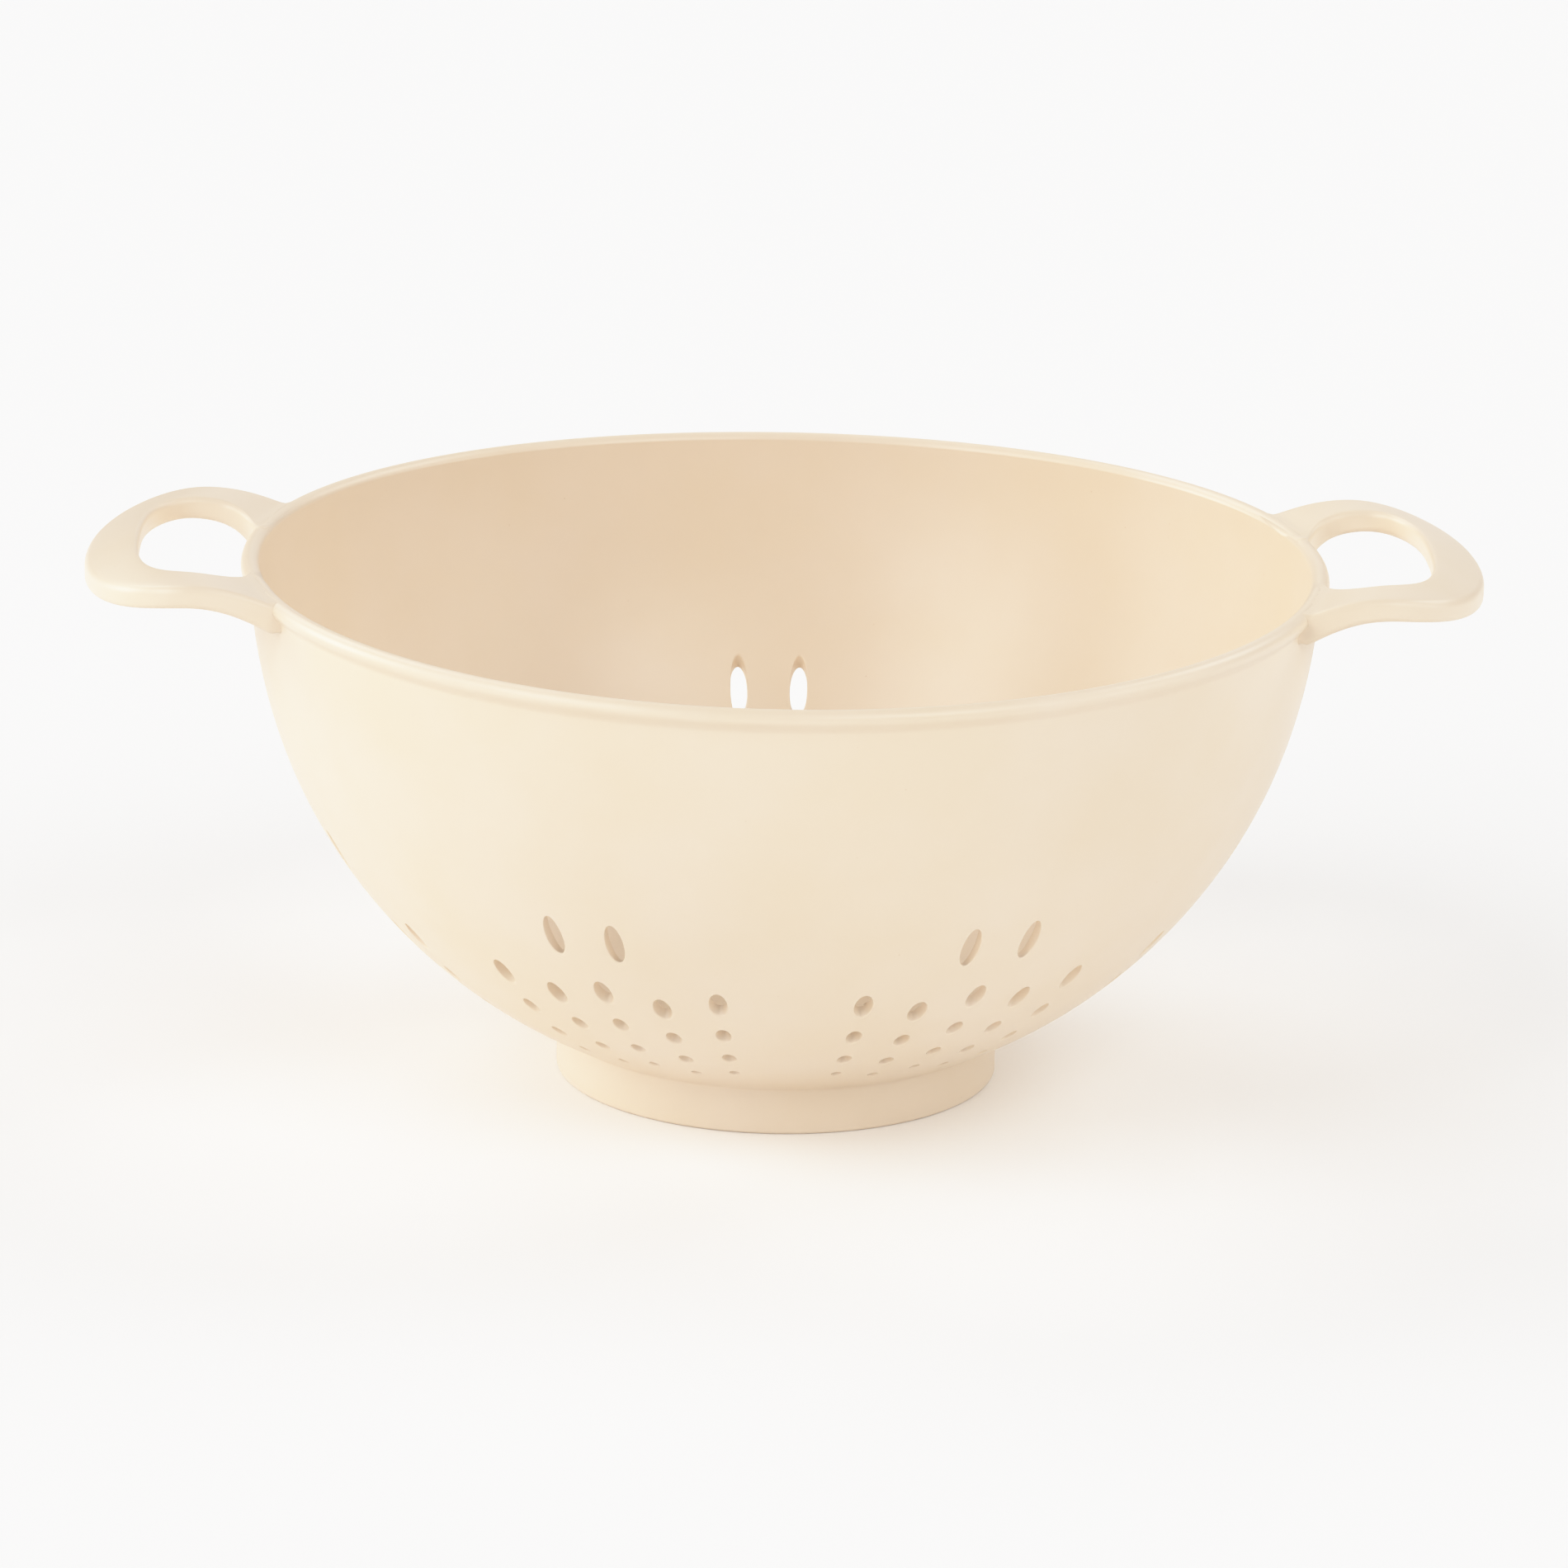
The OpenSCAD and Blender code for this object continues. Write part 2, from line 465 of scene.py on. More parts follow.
@dataclass
class DrainPattern:
    """Seven clusters of holes that taper towards the foot, and the plain cells between them.

    Directions inside a cluster are in degrees from its middle. The line share says how far up
    from a row to the next the line between their cells runs.
    """

    form: BowlForm
    clusters: int = 7
    first: float = 90.0
    half_cell: float = 4.0
    side_angle: float = 20.0
    gap_steps: int = 8
    column_drop: float = 0.0024
    line_share: float = 0.46
    inner_r: float = 0.0605

    @property
    def turns(self) -> np.ndarray:
        """Directions of the clusters' middles."""
        return self.first + np.arange(self.clusters) * 360 / self.clusters

    @property
    def gap_ends(self) -> tuple[float, float]:
        """Directions from a cluster's middle at which the gap after it begins and ends."""
        return self.side_angle, 360 / self.clusters - self.side_angle

    @property
    def directions(self) -> np.ndarray:
        """Directions of the points on every circle that meets the pattern."""
        cell = np.arange(-self.side_angle, self.side_angle)
        gap = np.linspace(*self.gap_ends, self.gap_steps, endpoint=False)
        return (self.turns[:, None] + np.concatenate([cell, gap])).ravel()

    def row_r(self, index: int) -> float:
        """Distance of a row from the axis: its share of the way from foot to rim."""
        top_r = self.form.rim_r - self.form.bead_proud
        return self.form.foot_r + (top_r - self.form.foot_r) * ROWS[index].place_share

    def edge_r(self, index: int, degrees: np.ndarray) -> np.ndarray:
        """Distance of the line above a row, which dips with the columns that lie nearer the axis.

        The dip is (1 - cos(2 pi a / 16)) / 2 of the drop at a degrees from the cluster's middle,
        as far as the outer columns, so it is whole at the second and fourth columns and nothing
        at the others.

        Args:
            index: Number of the row under the line, or the number of rows for the last line.
            degrees: Directions from the cluster's middle.

        Returns:
            Distances from the axis, one for each direction.
        """
        if index == 0:
            return np.full_like(degrees, self.form.drain_r)
        if index == len(ROWS):
            return np.full_like(degrees, self.inner_r)
        outer_column = 4 * self.half_cell
        is_within = np.abs(degrees) < outer_column
        dip = (1 - np.cos(2 * np.pi * degrees / outer_column)) / 2 * is_within
        low_r, high_r = self.row_r(index), self.row_r(index - 1)
        return low_r + (high_r - low_r) * self.line_share - self.column_drop * dip

    def add_row(self, skin: Skin, index: int) -> None:
        """Adds one row's cells with their holes, in every cluster.

        Args:
            skin: The mesh that they go to.
            index: Number of the row.
        """
        row = ROWS[index]
        loop = square_loop(int(2 * self.half_cell), row.up)
        columns = np.array(row.columns, float)
        degrees = columns[:, None] + self.half_cell * (2 * loop[:, 0] - 1)
        low, high = self.edge_r(index + 1, degrees), self.edge_r(index, degrees)
        border = polar(low + (high - low) * loop[:, 1], degrees)
        is_dropped = np.abs(columns) == 2 * self.half_cell
        middle = polar(self.row_r(index) - self.column_drop * is_dropped, columns)[:, None]
        outwards, sideways = polar(1.0, columns)[:, None], polar(1.0, columns + 90)[:, None]
        start = -90 - 360 * self.half_cell / len(loop)
        turn = np.radians(start + 360 * np.arange(len(loop)) / len(loop))[None, :, None]

        def outline(growth: float, is_upper: bool) -> np.ndarray:
            """The row's ellipses on one face, grown by a length.

            Args:
                growth: How far each grows all round.
                is_upper: Whether the face is the upper one.

            Returns:
                Plan points (holes, loop, 2).
            """
            across = (row.width / 2 + growth) * np.cos(turn)
            along = ((row.length + is_upper * row.opened) / 2 + growth) * np.sin(turn)
            return middle + across * sideways + (along - is_upper * row.lean) * outwards

        rings = HoleEdge(steps=row.edge_steps).rings(row.plain_shares)
        sleeves = pierced(border, outline, rings, self.form.under, self.form.over)
        skin.add(turned(sleeves, self.turns), closed=True)

    def add_plain(self, skin: Skin, index: int, start: float, end: float, steps: int) -> None:
        """Adds both faces of a stretch of a row that has no holes, beside every cluster.

        Args:
            skin: The mesh that it goes to.
            index: Number of the row.
            start: First direction from the cluster's middle.
            end: Last direction.
            steps: Stretches between them.
        """
        degrees = np.linspace(start, end, steps + 1)[None, :]
        share = np.linspace(0, 1, ROWS[index].up + 1)[:, None]
        low, high = self.edge_r(index + 1, degrees), self.edge_r(index, degrees)
        plan = polar(low + (high - low) * share, degrees)
        r = np.hypot(plan[..., 0], plan[..., 1])
        for height in (self.form.under, self.form.over):
            skin.add(turned(np.concatenate([plan, height(r)[..., None]], axis=-1), self.turns))

    def add_to(self, skin: Skin) -> None:
        """Adds the whole perforated zone.

        Args:
            skin: The bowl's mesh.
        """
        for index, row in enumerate(ROWS):
            self.add_row(skin, index)
            self.add_plain(skin, index, *self.gap_ends, self.gap_steps)
            last = max(row.columns) + self.half_cell
            if last < self.side_angle:
                self.add_plain(skin, index, last, self.side_angle, int(self.side_angle - last))
                self.add_plain(skin, index, -self.side_angle, -last, int(self.side_angle - last))


@dataclass
class Bowl:
    """The hemispherical bowl: rim bead, plain wall and perforated basin in one skin."""

    form: BowlForm
    drains: DrainPattern
    bead_flow: float = 0.0022
    wall_steps: int = 12
    flow_steps: int = 12
    lip_steps: int = 14
    base_steps: int = 4

    def rim_profile(self) -> np.ndarray:
        """Profile from the drain zone's outer face, up and over the rim, to its inner face.

        The outer sphere, the bead's underside, a half round lip and the inner sphere follow one
        another. The underside flows out from the wall by a smooth step of the height, from just
        below the bead to the lip's middle.

        Returns:
            Array (points, 2) of radius and height.
        """
        form = self.form
        lip = (form.rim_r - form.lip_r, form.height - form.lip_r)
        flow = np.linspace(form.bead_z - self.bead_flow, lip[1], self.flow_steps + 1)
        wall_r = np.sqrt(form.outer_r**2 - (form.centre_z - flow) ** 2)
        share = smooth_step(np.linspace(0, 1, flow.size))
        flow_r = wall_r + (form.rim_r - wall_r) * share
        inner_top_r = form.radius_at(form.bead_z, form.inner_r)
        return np.concatenate(
            [
                form.sphere_arc(form.outer_r, form.drain_r, float(wall_r[0]), self.wall_steps)[:-1],
                np.stack([flow_r, flow], axis=-1)[:-1],
                arc(lip, form.lip_r, 0, 180, self.lip_steps),
                form.sphere_arc(form.inner_r, inner_top_r, form.drain_r, self.wall_steps),
            ]
        )

    def base_profile(self) -> np.ndarray:
        """Profile from the drain zone in to the flat floor under the wall, and back over it.

        Returns:
            Array (points, 2) of radius and height.
        """
        form, drains = self.form, self.drains
        low_r = form.radius_at(form.floor_z, form.outer_r)
        high_r = form.radius_at(form.floor_top, form.inner_r)
        return np.concatenate(
            [
                form.sphere_arc(form.outer_r, drains.inner_r, low_r, self.base_steps),
                form.sphere_arc(form.inner_r, high_r, drains.inner_r, self.base_steps),
            ]
        )

    def finish_shape(self, mesh: bpy.types.Mesh) -> None:
        """Lifts the rim, and gives the points on the two spheres the spheres' own normals.

        Args:
            mesh: The bowl's mesh.
        """
        points = np.empty(len(mesh.vertices) * 3, np.float32)
        normals = np.empty(len(mesh.vertices) * 3, np.float32)
        mesh.vertices.foreach_get("co", points)
        mesh.vertex_normals.foreach_get("vector", normals)
        points, normals = points.reshape(-1, 3), normals.reshape(-1, 3)
        offset = points - np.array([0, 0, self.form.centre_z])
        distance = np.linalg.norm(offset, axis=1)
        for sphere_r, side in ((self.form.outer_r, 1), (self.form.inner_r, -1)):
            on_sphere = np.abs(distance - sphere_r) < 2 * WELD
            normals[on_sphere] = side * offset[on_sphere] / distance[on_sphere, None]
        mesh.vertices.foreach_set("co", self.form.lifted(points).astype(np.float32).ravel())
        mesh.update()
        mesh.normals_split_custom_set_from_vertices(normals.tolist())

    def build(self, finish: bpy.types.Material) -> bpy.types.Object:
        """Makes the bowl.

        Args:
            finish: Its material.

        Returns:
            The piece.
        """
        skin = Skin()
        self.drains.add_to(skin)
        skin.add(spun(self.rim_profile(), self.drains.directions), closed=True)
        skin.add(spun(self.base_profile(), self.drains.directions), closed=True)
        mesh = skin.mesh("bowl")
        self.finish_shape(mesh)
        return place(mesh, finish, ["rim_bead", "bowl_wall", "drain_basin"])


@dataclass
class BaseFloor:
    """The flat floor inside the foot, with a middle hole and rings of 7, 14 and 21 holes."""

    form: BowlForm
    first: float = 90.0
    hole_d: float = 0.0032
    pitch: float = 0.0096
    rings: int = 3
    ring_holes: int = 7
    points: int = 168
    up: int = 4
    hole_edge: HoleEdge = HoleEdge(reach=0.0003, depth=0.0003, steps=2)
    plain_shares: tuple[float, ...] = (1.0, 0.4)

    def flat(self, height: float) -> Height:
        """A face at one height."""
        return lambda r: np.full_like(r, height)

    def add_holes(
        self,
        skin: Skin,
        border: np.ndarray,
        middle: np.ndarray,
        turns: np.ndarray,
        directions: np.ndarray,
    ) -> None:
        """Adds cells with round holes, repeated round the floor.

        Args:
            skin: The mesh that they go to.
            border: Plan points (1, loop, 2) of the cell's border.
            middle: Plan point of the hole's middle.
            turns: Directions at which the cell is repeated.
            directions: Directions from the hole's middle of the points that face the border's.
        """
        sleeve = pierced(
            border,
            lambda growth, is_upper: middle + polar(self.hole_d / 2 + growth, directions)[None],
            self.hole_edge.rings(self.plain_shares),
            self.flat(self.form.floor_z),
            self.flat(self.form.floor_top),
        )
        skin.add(turned(sleeve, turns), closed=True)

    def build(self, finish: bpy.types.Material) -> bpy.types.Object:
        """Makes the floor.

        Args:
            finish: Its material.

        Returns:
            The piece.
        """
        skin, form = Skin(), self.form
        around = self.first + 360 * np.arange(self.points) / self.points
        self.add_holes(skin, polar(self.pitch / 2, around)[None], np.zeros(2), np.zeros(1), around)
        for ring in range(1, self.rings + 1):
            holes = self.ring_holes * ring
            across = self.points // holes
            loop = square_loop(across, self.up)
            degrees = (2 * loop[:, 0] - 1) * 180 / holes
            border = polar((ring - 0.5 + loop[:, 1]) * self.pitch, degrees)[None]
            turns = self.first + 360 * np.arange(holes) / holes
            directions = 180 + 180 * across / len(loop) - 360 * np.arange(len(loop)) / len(loop)
            self.add_holes(skin, border, np.array([ring * self.pitch, 0.0]), turns, directions)
        edge_r = (self.rings + 0.5) * self.pitch
        border_profile = np.array(
            [
                (edge_r, form.floor_z),
                (form.radius_at(form.floor_z, form.outer_r), form.floor_z),
                (form.radius_at(form.floor_top, form.inner_r), form.floor_top),
                (edge_r, form.floor_top),
            ]
        )
        skin.add(spun(border_profile, around), closed=True)
        mesh = skin.mesh("base_floor_plate")
        mesh.set_sharp_from_angle(angle=CREASE)
        return place(mesh, finish, ["base_floor"])


@dataclass
class FootRing:
    """The plain ring that the colander stands on, blended into the bowl above it."""

    form: BowlForm
    edge: float = 0.0008
    blend: float = 0.0007
    buried: float = 0.0008
    edge_steps: int = 6
    blend_steps: int = 6
    points: int = 240

    def profile(self) -> np.ndarray:
        """Closed profile: standing edge, outer face, hollow blend into the bowl, buried top.

        The blend is a quadratic curve from the outer face to the bowl's face, with its middle point
        where the two faces would meet.

        Returns:
            Array (points, 2) of radius and height.
        """
        form = self.form
        corner = np.array([form.foot_r, float(form.under(np.array(form.foot_r)))])
        on_bowl_r = form.foot_r + self.blend
        on_bowl = np.array([on_bowl_r, float(form.under(np.array(on_bowl_r)))])
        t = np.linspace(0, 1, self.blend_steps + 1)[:, None]
        on_foot = corner - [0, self.blend]
        blend = (1 - t) ** 2 * on_foot + 2 * t * (1 - t) * corner + t**2 * on_bowl
        top_z = on_bowl[1] + self.buried
        inner_top = float(form.under(np.array(form.foot_in_r))) + self.buried
        return np.concatenate(
            [
                arc((form.foot_in_r + self.edge, self.edge), self.edge, 180, 270, self.edge_steps),
                arc((form.foot_r - self.edge, self.edge), self.edge, -90, 0, self.edge_steps),
                blend,
                [(on_bowl_r, top_z), (form.foot_in_r, inner_top)],
            ]
        )

    def build(self, finish: bpy.types.Material) -> bpy.types.Object:
        """Makes the foot ring.

        Args:
            finish: Its material.

        Returns:
            The piece.
        """
        profile = self.profile()
        skin = Skin()
        around = 360 * np.arange(self.points) / self.points
        skin.add(spun(np.concatenate([profile, profile[:1]]), around), closed=True)
        mesh = skin.mesh("foot")
        mesh.set_sharp_from_angle(angle=CREASE)
        return place(mesh, finish, ["foot_ring"])


class Side(Enum):
    """Which end of the colander a handle is on."""

    LEFT = -1
    RIGHT = 1


@dataclass
class LoopHandle:
    """An arched loop handle: a rounded section carried round a finger opening.

    In plan its outer edge and its finger opening are superellipses about the middle of the grip's
    bow. Its top is a parabola of the distance from the bowl's axis, which rises from the rim to a
    crown and falls again to the tip, and it is slightly domed from one arm to the other.
    """

    form: BowlForm
    side: Side
    tip_r: float
    half_w: float
    crown_z: float
    bow: float = 0.0259
    arm: float = 0.01325
    grip: float = 0.0123
    root_bow: float = 0.01255
    square: float = 2.78
    outer_square: float = 2.1
    thick: float = 0.0051
    edge: float = 0.0015
    step: float = 0.0004
    vertex: float = 0.0005
    rise: float = 0.0051
    crown_shift: float = 0.00105
    dome: float = 0.001
    flare: float = 0.0018
    flare_l: float = 0.0192
    valley: float = 0.0012
    sink: float = 0.0005
    least_sine: float = 0.5
    search_end: float = 170.0
    search_steps: int = 800
    half_rings: int = 90
    corner_steps: int = 6
    flat_steps: int = 6

    @classmethod
    def from_frame(cls, form: BowlForm, side: Side) -> "LoopHandle":
        """Reads the handle's reach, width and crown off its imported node."""
        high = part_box("right_handle")[1]
        return cls(form, side, high.x, high.y, high.z)

    @property
    def bow_x(self) -> float:
        """Distance of the bow's middle from the bowl's axis."""
        return self.tip_r - self.bow

    def superellipse(
        self,
        degrees: np.ndarray,
        a: np.ndarray | float,
        b: float,
        n: float,
    ) -> np.ndarray:
        """Distance r from the middle of a superellipse: (|cos| / a)^n + (|sin| / b)^n = r^-n.

        Args:
            degrees: Directions from the middle.
            a: Half length along X.
            b: Half width along Y.
            n: Power, 2 for an ellipse and more for squarer corners.

        Returns:
            Distances, one for each direction.
        """
        turn = np.radians(degrees)
        sides = np.abs(np.cos(turn) / a) ** n + np.abs(np.sin(turn) / b) ** n
        return sides ** (-1 / n)

    def opening(self, degrees: np.ndarray) -> np.ndarray:
        """Distance from the bow's middle to the edge of the finger opening."""
        a = np.where(np.abs(degrees) <= 90, self.bow - self.grip, self.root_bow)
        return self.superellipse(degrees, a, self.half_w - self.arm, self.square)

    def outer(self, degrees: np.ndarray) -> np.ndarray:
        """Distance from the bow's middle to the outer edge, round the bow and along the arms.

        It is the superellipse's at the bow. On the straight arms it is the half width over the
        sine, which is kept from falling to 0.

        Args:
            degrees: Directions from the middle, 0 at the tip.

        Returns:
            Distances, one for each direction.
        """
        bowed = self.superellipse(degrees, self.bow, self.half_w, self.outer_square)
        sine = np.maximum(np.abs(np.sin(np.radians(degrees))), self.least_sine)
        return np.where(np.abs(degrees) <= 90, bowed, self.half_w / sine)

    def end_angle(self) -> float:
        """Angle at which the opening's edge lies half way under the bead's overhang.

        Returns:
            The largest direction from the bow's middle, in degrees, at which the edge is clear.
        """
        degrees = np.linspace(90, self.search_end, self.search_steps + 1)
        edge = np.array([self.bow_x, 0.0]) + polar(self.opening(degrees), degrees)
        is_clear = np.hypot(edge[:, 0], edge[:, 1]) > self.form.rim_r - self.form.bead_proud / 2
        return float(degrees[is_clear].max())

    def top(self, plan: np.ndarray) -> np.ndarray:
        """Height of the top face over points of the plan.

        Outside the rim it is v - rise ((r - c) / (tip - c))^2 - dome (y / half width)^2, where c
        is the crown's distance from the axis and v the height of the vertex, which lies over the
        opening. It blends into the lip's round with a soft maximum, and dips under the lip inside.

        Args:
            plan: Plan points (..., 2).

        Returns:
            Heights, one for each point.
        """
        form = self.form
        r = np.hypot(plan[..., 0], plan[..., 1])
        crown_r = (form.rim_r + self.tip_r) / 2 - self.crown_shift
        outside = soft_max(r, form.rim_r, self.valley)
        fall = self.rise * ((outside - crown_r) / (self.tip_r - crown_r)) ** 2
        arch = self.crown_z + self.vertex - fall - self.dome * (plan[..., 1] / self.half_w) ** 2
        lip_mid = form.rim_r - form.lip_r
        inside = np.clip(r - lip_mid, 0, form.lip_r)
        lip = form.height - form.lip_r + np.sqrt(form.lip_r**2 - inside**2)
        lip = lip + form.lift(plan[..., 0], plan[..., 1])
        dip = self.sink * smooth_step((lip_mid + self.sink - r) / self.sink)
        return soft_max(arch, lip, self.step) - dip

    def section(self, width: np.ndarray) -> tuple[np.ndarray, np.ndarray]:
        """Points round a rounded rectangle, whose flats are divided to follow the arch.

        Args:
            width: Width of each section.

        Returns:
            Offsets across the section (sections, points), and heights about its middle (points).
        """
        across, up = [], []
        for corner in range(4):
            right = 1 if corner in (0, 3) else -1
            high = 1 if corner < 2 else -1
            turn = np.radians(90 * (corner + np.arange(self.corner_steps + 1) / self.corner_steps))
            across.append((right, self.edge * np.cos(turn)))
            up.append(high * (self.thick / 2 - self.edge) + self.edge * np.sin(turn))
        rows, heights = [], []
        half = width[:, None] / 2 - self.edge
        flats = np.arange(1, self.flat_steps) / self.flat_steps
        for corner, ((right, offset), height) in enumerate(zip(across, up)):
            rows.append(right * half + offset)
            heights.append(height)
            following = across[(corner + 1) % 4]
            next_height = up[(corner + 1) % 4][0]
            begin = right * half + offset[-1]
            finish = following[0] * half + following[1][0]
            rows.append(begin + (finish - begin) * flats)
            heights.append(height[-1] + (next_height - height[-1]) * flats)
        return np.concatenate(rows, axis=1), np.concatenate(heights)

    def grid(self) -> np.ndarray:
        """Rings of points along the handle, the first and the last pushed into the wall.

        Returns:
            Grid (rings, points, 3).
        """
        share = np.linspace(-1, 1, 2 * self.half_rings + 1)
        degrees = np.concatenate([share[:1], share, share[-1:]]) * self.end_angle()
        near, far = self.opening(degrees), self.outer(degrees)
        offset, height = self.section(far - near)
        distance = ((near + far) / 2)[:, None] + offset
        plan = polar(distance, degrees[:, None]) + np.array([self.bow_x, 0.0])
        r = np.hypot(plan[..., 0], plan[..., 1])
        fade = np.clip(1 - (np.maximum(r, self.form.rim_r) - self.form.rim_r) / self.flare_l, 0, 1)
        z = self.top(plan) - self.thick / 2 + height - self.flare * fade**2 * (height < 0)
        buried_r = self.form.inner_r + self.form.wall / 2
        kept = np.maximum(r, buried_r)
        kept[[0, -1]] = buried_r - self.sink
        y = plan[..., 1]
        return np.stack([np.sqrt(kept**2 - y**2), y, z], axis=-1)

    def build(self, finish: bpy.types.Material) -> bpy.types.Object:
        """Makes the handle.

        Args:
            finish: Its material.

        Returns:
            The piece.
        """
        grid = self.grid() * np.array([self.side.value, 1, 1])
        skin = Skin()
        numbers = skin.add(grid, closed=True)[0]
        skin.cap(numbers[0])
        skin.cap(numbers[-1][::-1])
        name = f"{self.side.name.lower()}_handle"
        return place(skin.mesh(f"{name}_loop"), finish, [name])


def linear(hex_colour: str) -> tuple[float, float, float, float]:
    """Turns an sRGB colour into the linear colour that a shader takes.

    Args:
        hex_colour: Six hex digits, such as F2E3CD.

    Returns:
        Red, green, blue and a full alpha.
    """
    values = [int(hex_colour[i : i + 2], 16) / 255 for i in (0, 2, 4)]
    parts = [v / 12.92 if v <= 0.04045 else ((v + 0.055) / 1.055) ** 2.4 for v in values]
    return (*parts, 1.0)


def node(
    tree: bpy.types.NodeTree,
    kind: str,
    settings: dict[str | int, object] | None = None,
    **links: bpy.types.NodeSocket,
) -> bpy.types.Node:
    """Adds one node.

    Args:
        tree: The material's or the world's nodes.
        kind: Type of the node.
        settings: Values of its properties, or of its inputs by name or number.
        **links: Output sockets that feed its inputs, by the input's name with _ for a space, or in_
            and its number.

    Returns:
        The new node.
    """
    made = tree.nodes.new(kind)
    for key, value in (settings or {}).items():
        if isinstance(key, int) or key in made.inputs:
            made.inputs[key].default_value = value
        else:
            setattr(made, key, value)
    for key, source in links.items():
        name = int(key[3:]) if key.startswith("in_") else key.replace("_", " ")
        tree.links.new(source, made.inputs[name])
    return made


@dataclass(frozen=True)
class MouldedMelamine:
    """Cream melamine filled with plant fibre, compression moulded in a polished steel tool.

    The filler gives the eye a warm off-white with a few darker specks and faint clouds of tone. The
    tool leaves a satin face with a very low, slow wave, which softens reflections. Each pair holds
    the values of a noise or a cell between which an effect grows or fades.
    """

    name: str = "melamine_moulded_cream"
    cream: str = "EAD8C2"
    cloud: str = "E8D5BC"
    speck: str = "C9AE8A"
    cloud_mm: float = 34.0
    cloud_range: tuple[float, float] = (0.35, 0.65)
    speck_mm: float = 2.6
    speck_reach: tuple[float, float] = (0.02, 0.09)
    speck_chance: tuple[float, float] = (0.80, 0.95)
    speck_share: float = 0.55
    grain_mm: float = 0.8
    grain_strength: float = 0.06
    grain_depth: float = 0.0001
    wave_mm: float = 16.0
    wave_strength: float = 0.12
    wave_depth: float = 0.001
    roughness: float = 0.38
    rough_swing: float = 0.05
    ior: float = 1.62

    def make(self) -> bpy.types.Material:
        """Builds the material's nodes.

        Returns:
            The material.
        """
        material = bpy.data.materials.new(self.name)
        material.use_nodes = True
        tree = material.node_tree
        tree.nodes.clear()
        place_in = node(tree, "ShaderNodeTexCoord").outputs["Object"]
        clouds = node(
            tree,
            "ShaderNodeTexNoise",
            {"Scale": MM_PER_M / self.cloud_mm, "Detail": 3.0},
            Vector=place_in,
        )
        cloud_min, cloud_max = self.cloud_range
        tone = node(
            tree,
            "ShaderNodeMapRange",
            {"From Min": cloud_min, "From Max": cloud_max},
            Value=clouds.outputs["Fac"],
        )
        base = node(
            tree,
            "ShaderNodeMix",
            {"data_type": "RGBA", 6: linear(self.cream), 7: linear(self.cloud)},
            in_0=tone.outputs["Result"],
        )
        cells = node(
            tree,
            "ShaderNodeTexVoronoi",
            {"Scale": MM_PER_M / self.speck_mm},
            Vector=place_in,
        )
        core, rim = self.speck_reach
        dot = node(
            tree,
            "ShaderNodeMapRange",
            {"From Min": core, "From Max": rim, "To Min": 1.0, "To Max": 0.0},
            Value=cells.outputs["Distance"],
        )
        none_below, whole_above = self.speck_chance
        chance = node(
            tree,
            "ShaderNodeMapRange",
            {"From Min": none_below, "From Max": whole_above, "To Max": self.speck_share},
            Value=cells.outputs["Color"],
        )
        speck = node(
            tree,
            "ShaderNodeMath",
            {"operation": "MULTIPLY"},
            in_0=dot.outputs["Result"],
            in_1=chance.outputs["Result"],
        )
        colour = node(
            tree,
            "ShaderNodeMix",
            {"data_type": "RGBA", 7: linear(self.speck)},
            in_0=speck.outputs[0],
            in_6=base.outputs[2],
        )
        grain = node(
            tree,
            "ShaderNodeTexNoise",
            {"Scale": MM_PER_M / self.grain_mm, "Detail": 2.0},
            Vector=place_in,
        )
        rough = node(
            tree,
            "ShaderNodeMapRange",
            {
                "To Min": self.roughness - self.rough_swing,
                "To Max": self.roughness + self.rough_swing,
            },
            Value=clouds.outputs["Fac"],
        )
        wave = node(
            tree,
            "ShaderNodeTexNoise",
            {"Scale": MM_PER_M / self.wave_mm, "Detail": 1.0},
            Vector=place_in,
        )
        slow = node(
            tree,
            "ShaderNodeBump",
            {"Strength": self.wave_strength, "Distance": self.wave_depth},
            Height=wave.outputs["Fac"],
        )
        fine = node(
            tree,
            "ShaderNodeBump",
            {"Strength": self.grain_strength, "Distance": self.grain_depth},
            Height=grain.outputs["Fac"],
            Normal=slow.outputs["Normal"],
        )
        shader = node(
            tree,
            "ShaderNodeBsdfPrincipled",
            {"IOR": self.ior},
            Base_Color=colour.outputs[2],
            Roughness=rough.outputs["Result"],
            Normal=fine.outputs["Normal"],
        )
        node(tree, "ShaderNodeOutputMaterial", Surface=shader.outputs["BSDF"])
        return material


@dataclass(frozen=True)
class Softbox:
    """A wide, distant light, as a large softbox gives far from the object.

    The azimuth is 0 at the camera's side and 90 to the right, and the elevation is above the
    horizon, both in degrees. The strength is the power on a facing square metre, in watts.
    """

    name: str
    azimuth: float
    elevation: float
    strength: float


SOFTBOXES = (
    Softbox("low_left", -110, 15, 1.28),
    Softbox("low_front_left", -45, 15, 0.73),
    Softbox("low_right", 75, 15, 0.65),
    Softbox("low_back", 165, 15, 0.20),
    Softbox("high_back_left", -150, 40, 0.68),
    Softbox("high_front_left", -60, 40, 1.03),
    Softbox("high_front_right", 30, 40, 0.94),
    Softbox("high_back_right", 120, 40, 0.84),
)


